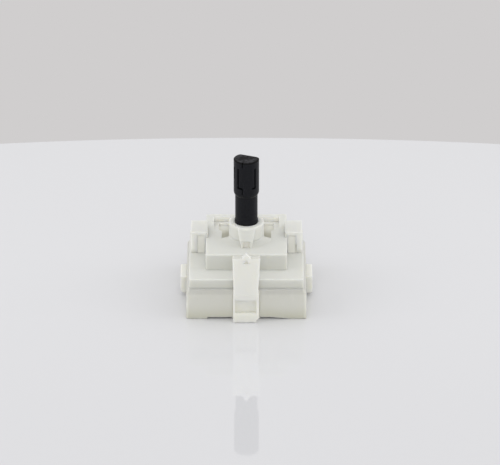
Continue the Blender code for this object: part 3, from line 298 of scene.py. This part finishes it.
def base_shade(finish, colour):
    """The base: painted shade under the skirt, towards the foot and on the arm's top; painted light in the
    latch, the pocket, the hooks and the ears.
    """
    x, y, z = (finish.axis(name) for name in "XYZ")
    side = x * x

    # Painted shade: a darker band on the base just under the skirt.
    joint = finish.within(z, 7.2 * MM, BASE_RIM + 0.3 * MM, 0.8 * MM)
    colour = finish.mixed(0.22 * joint, colour, PLASTIC_DUST_AND_SHADE)
    # Painted shade: darker and warmer towards the bottom, in mottled patches, where the floor shades the
    # base.
    foot_shade = 0.75 + 0.5 * finish.noise(2.2 * MM, 4.0)
    colour = finish.mixed((1 - finish.above(z, -0.8 * MM, 4.2 * MM)) * foot_shade, colour, BASE_LOW_SHADE)

    front = 1 - finish.above(y, -14.6 * MM, -14.2 * MM)
    near = 1 - finish.beyond(side, 3.4 * MM, 6.0 * MM)
    column = 1 - finish.beyond(side, 3.3 * MM, 3.7 * MM)
    proud = finish.above(WALL_LEAN * z - y, 16.25 * MM, 16.40 * MM)
    # Painted light: the front wall a little paler beside the latch, and the pocket under the arm given a
    # warmer tone that stands in for the light in it.
    colour = finish.mixed(0.15 * near * front, colour, BASE_ARM)
    colour = finish.mixed(column * front, colour, BASE_POCKET_LIGHT)
    # Painted light: the latch's arm and foot, standing proud of the wall, paler than the wall as if lit
    # through.
    latch = finish.mixed(finish.above(z, 3.0 * MM, 7.5 * MM), BASE_FOOT_LIGHT, BASE_ARM)
    colour = finish.mixed(proud, colour, latch)
    # Painted shade: the arm's top edge darker, damping its highlight.
    arm_top = finish.above(z, 17.15 * MM, 17.30 * MM) * finish.beyond(side, 1.0 * MM, 1.3 * MM)
    colour = finish.mixed(proud * arm_top, colour, BASE_ARM_TOP_SHADE)

    # Painted light: the hooks in the tower windows and the nick on the arm's top paler, where they lie in
    # shade.
    nick = 1 - finish.beyond(side, 0.85 * MM, 1.0 * MM)
    nick = nick * finish.within(z, 15.9 * MM, 16.95 * MM, 0.1 * MM)
    nick = nick * finish.above(y, -16.35 * MM, -16.25 * MM)
    hooks = finish.above(z, LEDGE - 0.1 * MM, LEDGE) * (1 - proud) + nick * proud
    colour = finish.mixed(hooks, colour, BASE_HOOK_LIGHT)
    # Painted light: the ears paler, as if lit through.
    return finish.mixed(finish.beyond(side, EAR_INNER, 15.6 * MM), colour, BASE_EAR_LIGHT)


def flash_shade(finish, colour):
    """The small beads and faces: plain at the joint, with painted light making them paler in the windows
    above the ledge.
    """
    return finish.mixed(finish.above(finish.axis("Z"), LEDGE - 0.1 * MM, LEDGE), colour, FLASH_HOOK_LIGHT)


def moulded_black():
    """Black glass-filled plastic: satin, with fine lengthwise drag lines and greyed high spots.

    The shaft's flat end is worn grey in blotches inside its black rim.
    """
    finish = Finish("satin_black_plastic", "black_plastic", {"IOR": 1.5, "Specular IOR Level": 0.15})
    x, y, z = (finish.axis(name) for name in "XYZ")
    streaks = finish.noise(0.12 * MM, 3.0, (1.0, 1.0, 0.05))
    mottle = finish.noise(0.35 * MM, 4.0, roughness=0.6)
    # Painted shade: the rim round the flat end darker than the black plastic.
    rim = finish.above(z, SHAFT_TOP - 0.32 * MM, SHAFT_TOP - 0.24 * MM)
    top = finish.above(z, SHAFT_TOP - 0.05 * MM, SHAFT_TOP - 0.01 * MM)
    grey = finish.above(mottle, 0.42, 0.62) * 0.10 + 0.10 * finish.above(streaks, 0.5, 0.8)
    blotches = finish.noise(1.0 * MM, 2.0, roughness=0.6)
    ring = finish.beyond(x * x + y * y, 1.0 * MM, 2.4 * MM)
    worn = finish.mixed(finish.above(blotches + 0.12 * ring, 0.42, 0.72), BLACK_TOP, WORN_TOP)
    colour = finish.mixed(rim, finish.mixed(grey, BLACK_PLASTIC, WORN_BLACK), BLACK_RIM_SHADE)
    finish.feed("Base Color", finish.mixed(top, colour, worn))
    finish.feed("Roughness", 0.34 + 0.10 * mottle + 0.10 * streaks + 0.10 * top)
    finish.bump(0.7 * mottle + 0.5 * streaks, 0.006 * MM)
    return finish


def natural_acetal():
    """Natural acetal: milky, smooth, with faint flow clouds."""
    finish = Finish("natural_acetal", "natural_plastic",
                    {"Subsurface Weight": 0.2, "Subsurface Scale": 0.0010, "IOR": 1.48})
    clouds = finish.noise(4 * MM, 3.0)
    finish.feed("Base Color", finish.mixed(clouds, ACETAL, ACETAL_CLOUD))
    finish.feed("Roughness", 0.34 + 0.12 * clouds)
    finish.bump(finish.noise(0.2 * MM, 2.0), 0.004 * MM)
    return finish


def sheet_metal(name, slot, bright, dark, rolling, roughness):
    """Rolled sheet or drawn wire: lines along one axis, with cloudy tarnish."""
    finish = Finish(name, slot, {"Metallic": 1.0})
    lines = finish.noise(0.09 * MM, 3.0, rolling)
    tarnish = finish.above(finish.noise(1.3 * MM, 4.0, roughness=0.6), 0.45, 0.75)
    finish.feed("Base Color", finish.mixed(0.55 * tarnish + 0.15 * lines, bright, dark))
    finish.feed("Roughness", roughness + 0.14 * tarnish + 0.12 * lines)
    finish.bump(lines, 0.003 * MM)
    return finish


def table_white():
    """The turntable: white, smooth and glossy, with a faint unevenness, and painted shade darkening it
    towards the front.
    """
    finish = Finish("table_white", None, {"IOR": 1.62})
    colour = finish.mixed(finish.noise(60 * MM, 2.0), TABLE_WHITE, TABLE_CLOUD)
    front_shade = 1 - finish.above(finish.axis("Y"), -110 * MM, 20 * MM)
    finish.feed("Base Color", finish.mixed(front_shade, colour, TABLE_FRONT_SHADE))
    finish.feed("Roughness", 0.025 + 0.02 * finish.noise(25 * MM, 2.0))
    return finish


COVER_WHITE = moulded_white("cover_white_plastic", COVER_PLAIN, COVER_CLOUD, cover_shade)
BASE_WHITE = moulded_white("base_white_plastic", BASE_PLAIN, BASE_CLOUD, base_shade)
FLASH_WHITE = moulded_white("flash_white_plastic", FLASH_PLAIN, FLASH_CLOUD, flash_shade, 0.0)
SHAFT_BLACK = moulded_black()
NATURAL = natural_acetal()
TINNED = sheet_metal("tinned_brass", "tinned_brass", TIN, TARNISH, (1.0, 0.06, 1.0), 0.24)
SPRING_BRONZE = sheet_metal("spring_bronze", "bronze", BRONZE, DARK_BRONZE, (0.06, 1.0, 1.0), 0.22)
BRIGHT_STEEL = sheet_metal("bright_steel", "steel", STEEL, DARK_STEEL, (1.0, 1.0, 0.3), 0.16)
NODE_FINISH = {"base": BASE_WHITE, "cover": COVER_WHITE, "shaft": SHAFT_BLACK,
               "terminal_clamp": NATURAL, "wiper_carrier": NATURAL, "detent_wheel": NATURAL,
               "thrust_washer": NATURAL, "contact": TINNED, "wiper": SPRING_BRONZE,
               "retaining_clip": BRIGHT_STEEL, "detent_ball": BRIGHT_STEEL, "detent_spring": BRIGHT_STEEL}


def dress(node, finish):
    """Gives a node of the frame its finish in place of the frame's own."""
    node.data.materials.clear()
    node.data.materials.append(finish.material)


def mesh_piece(name, points, faces, finish):
    """A smooth mesh object from an array of points and a list of faces."""
    mesh = bpy.data.meshes.new(name)
    mesh.from_pydata(points.reshape(-1, 3), [], faces)
    mesh.polygons.foreach_set("use_smooth", np.full(len(mesh.polygons), True))
    mesh.materials.append(finish.material)
    piece = bpy.data.objects.new(name, mesh)
    bpy.context.scene.collection.objects.link(piece)
    return piece


def turned(name, profile, centre, finish, steps=64):
    """A solid of revolution about an upright axis through centre.

    Each profile point (r, z), listed from the axis outward over the top and back underneath, goes to
    (cx + r cos t, cy + r sin t, z) for steps values of t. The profile's two ends are single points on
    the axis, joined to their rings by triangles.
    """
    profile = np.array(profile)
    turn = np.linspace(0, 2 * np.pi, steps, endpoint=False)
    rings = profile[1:-1]
    points = np.stack([centre[0] + rings[:, :1] * np.cos(turn), centre[1] + rings[:, :1] * np.sin(turn),
                       np.repeat(rings[:, 1:], steps, axis=1)], axis=-1).reshape(-1, 3)
    ends = np.array([[*centre, profile[0, 1]], [*centre, profile[-1, 1]]])
    here = np.arange(steps)
    after = (here + 1) % steps
    rows = np.arange(len(rings) - 1)[:, None] * steps
    walls = np.stack([rows + here, rows + steps + here, rows + steps + after, rows + after], axis=-1)
    first, last = len(points), len(points) + 1
    foot = (len(rings) - 1) * steps
    faces = walls.reshape(-1, 4).tolist()
    faces += np.stack([np.full(steps, first), here, after], axis=-1).tolist()
    faces += np.stack([np.full(steps, last), foot + after, foot + here], axis=-1).tolist()
    return mesh_piece(name, np.vstack([points, ends]), faces, finish)


def round_cornered(half_width, front, rear, radius, steps=6):
    """An outline round the shaft's axis, anticlockwise, with its outward directions.

    Each corner's centre is radius in from two sides, and its points go round it by a quarter turn:
    centre + radius (cos t, sin t), with (cos t, sin t) as the direction outward.
    """
    turn = np.linspace(0, np.pi / 2, steps)
    centres = np.array([[half_width, rear], [-half_width, rear], [-half_width, -front], [half_width, -front]])
    centres = centres - radius * np.sign(centres)
    turns = turn[None, :] + np.arange(4)[:, None] * np.pi / 2
    outward = np.stack([np.cos(turns), np.sin(turns)], axis=-1)
    return (centres[:, None, :] + radius * outward).reshape(-1, 2), outward.reshape(-1, 2)


def carried(name, path, across, profile, finish, closed=True):
    """A bead: each profile point (out, up) carried along a path of points in space.

    Point (i, j) is path i + out j times the first direction at i + up j times the second. The profile
    closes on itself, and so does the path if closed is true. Otherwise its two ends get flat faces.
    """
    profile = np.array(profile)
    points = (path[:, None, :] + across[:, 0, None, :] * profile[None, :, :1]
              + across[:, 1, None, :] * profile[None, :, 1:])
    rows, width = len(path), len(profile)
    here = np.arange(rows if closed else rows - 1)[:, None]
    after = (here + 1) % rows
    up = np.arange(width)[None, :]
    over = (up + 1) % width
    faces = np.stack([here * width + up, after * width + up, after * width + over, here * width + over],
                     axis=-1).reshape(-1, 4).tolist()
    if not closed:
        faces += [list(range(width))[::-1], list(range((rows - 1) * width, rows * width))]
    return mesh_piece(name, points, faces, finish)


def make_joint_bead():
    """The moulded bead that closes the joint between the base's rim and the cover's skirt."""
    outline, outward = round_cornered(COVER_HALF, COVER_FRONT, COVER_REAR, COVER_CORNER)
    path = np.column_stack([outline, np.zeros(len(outline))])
    out = np.column_stack([outward, np.zeros(len(outline))])
    across = np.stack([out, np.broadcast_to([0.0, 0.0, 1.0], out.shape)], axis=1)
    middle = (BASE_RIM + SKIRT_FOOT) / 2
    profile = [(-0.60 * MM, BASE_RIM), (-0.05 * MM, BASE_RIM), (-0.01 * MM, BASE_RIM + 0.03 * MM),
               (0.0, middle), (-0.01 * MM, SKIRT_FOOT - 0.03 * MM), (-0.05 * MM, SKIRT_FOOT),
               (-0.60 * MM, SKIRT_FOOT)]
    bead = carried("joint_bead", path, across, profile, FLASH_WHITE)
    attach(bead, "housing")


def make_hook_faces():
    """The hooks' raised faces, which nearly fill their windows, and flash in the slit beside the right one.

    A face's path runs along +X at the foot of its hook. The slit's path goes up at a steady rate, and at
    a fraction f of the way it has moved back by 0.65 mm times f to the power 1.5.
    """
    face = [(-0.25 * MM, 0.0), (0.55 * MM, 0.0), (0.56 * MM, 0.06 * MM), (0.52 * MM, 0.18 * MM),
            (0.45 * MM, 1.2 * MM), (0.40 * MM, 3.0 * MM), (0.37 * MM, 4.4 * MM), (0.31 * MM, 4.72 * MM),
            (0.18 * MM, 4.90 * MM), (-0.05 * MM, 4.94 * MM), (-0.25 * MM, 4.0 * MM)]
    slit = [(-0.30 * MM, 0.0), (0.0, 0.0), (0.04 * MM, 0.10 * MM), (0.05 * MM, 0.20 * MM),
            (0.04 * MM, 0.36 * MM), (-0.30 * MM, 0.36 * MM)]
    count = 10
    steps = np.arange(count) / (count - 1)
    hook_x = HOOK_INNER + HOOK_WIDTH * steps
    level = np.full(count, HOOK_FACE), np.full(count, LEDGE)
    slit_y = HOOK_FACE - 0.48 * MM + 0.65 * MM * steps ** 1.5
    rise = np.column_stack([np.full(count, WINDOW_OUTER), slit_y, LEDGE + 2.38 * MM * steps])
    forward, up, inward = (0.0, -1.0, 0.0), (0.0, 0.0, 1.0), (-1.0, 0.0, 0.0)
    for name, path, across, profile in (
            ("hook_face_left", np.column_stack([-hook_x[::-1], *level]), (forward, up), face),
            ("hook_face_right", np.column_stack([hook_x, *level]), (forward, up), face),
            ("slit_flash", rise, (forward, inward), slit)):
        across = np.broadcast_to(across, (count, 2, 3))
        raised = carried(name, path, across, profile, FLASH_WHITE, closed=False)
        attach(raised, "housing")


def make_table():
    """The turntable's plate, with a rounded rim, its top in the plane of the underside."""
    rim = np.linspace(np.pi / 2, -np.pi / 2, 13)
    bend = TABLE_RIM
    outer = TABLE_RADIUS - bend
    head = [(outer + bend * np.cos(a), -bend + bend * np.sin(a)) for a in rim[:7]]
    foot = [(outer + bend * np.cos(a), -TABLE_THICK + bend + bend * np.sin(a)) for a in rim[6:]]
    table = turned("turntable", [(0, 0), *head, *foot, (0, -TABLE_THICK)],
                   (0.0, TABLE_REAR - TABLE_RADIUS), table_white(), 360)


def make_lights():
    """Soft studio light: an even surround, a broad panel in front and one to each side.

    Rays from the camera, reflected ones and transmitted ones see the grey backdrop instead of the surround.
    """
    world = bpy.data.worlds.new("studio")
    world.use_nodes = True
    bpy.context.scene.world = world
    tree = world.node_tree
    surround = tree.nodes["Background"]
    surround.inputs["Color"].default_value = SURROUND_WHITE
    surround.inputs["Strength"].default_value = SURROUND
    backdrop = tree.nodes.new("ShaderNodeBackground")
    backdrop.inputs["Color"].default_value = BACKDROP_GREY
    path = tree.nodes.new("ShaderNodeLightPath")
    seen = tree.nodes.new("ShaderNodeMath")
    seen.operation = "MAXIMUM"
    clear = tree.nodes.new("ShaderNodeMath")
    clear.operation = "MAXIMUM"
    choose = tree.nodes.new("ShaderNodeMixShader")
    tree.links.new(path.outputs["Is Camera Ray"], seen.inputs[0])
    tree.links.new(path.outputs["Is Glossy Ray"], seen.inputs[1])
    tree.links.new(seen.outputs[0], clear.inputs[0])
    tree.links.new(path.outputs["Is Transmission Ray"], clear.inputs[1])
    tree.links.new(clear.outputs[0], choose.inputs["Fac"])
    tree.links.new(surround.outputs[0], choose.inputs[1])
    tree.links.new(backdrop.outputs[0], choose.inputs[2])
    tree.links.new(choose.outputs[0], tree.nodes["World Output"].inputs["Surface"])
    for name, place, size, power in PANELS:
        light = bpy.data.lights.new(name, "AREA")
        light.size = size
        light.energy = power
        lamp = bpy.data.objects.new(name, light)
        lamp.location = place
        lamp.rotation_euler = (-Vector(place)).to_track_quat("-Z", "Y").to_euler()
        bpy.context.scene.collection.objects.link(lamp)


def make_camera():
    """The camera looks along +Y and down by its elevation, at the aim point from its distance."""
    data = bpy.data.cameras.new("camera")
    data.lens = CAMERA_LENS
    data.sensor_width = 36.0
    data.clip_start, data.clip_end = 0.05, 20.0
    camera = bpy.data.objects.new("camera", data)
    tilt = math.radians(CAMERA_ELEVATION)
    camera.location = Vector(CAMERA_AIM) + CAMERA_DISTANCE * Vector((0.0, -math.cos(tilt), math.sin(tilt)))
    camera.rotation_euler = (math.pi / 2 - tilt, 0.0, 0.0)
    bpy.context.scene.collection.objects.link(camera)
    bpy.context.scene.camera = camera


bpy.context.scene.view_settings.view_transform = "Standard"
make_camera()
make_joint_bead()
make_hook_faces()
make_table()
make_lights()
for name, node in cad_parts.items():
    dress(node, next(finish for prefix, finish in NODE_FINISH.items() if name.startswith(prefix)))
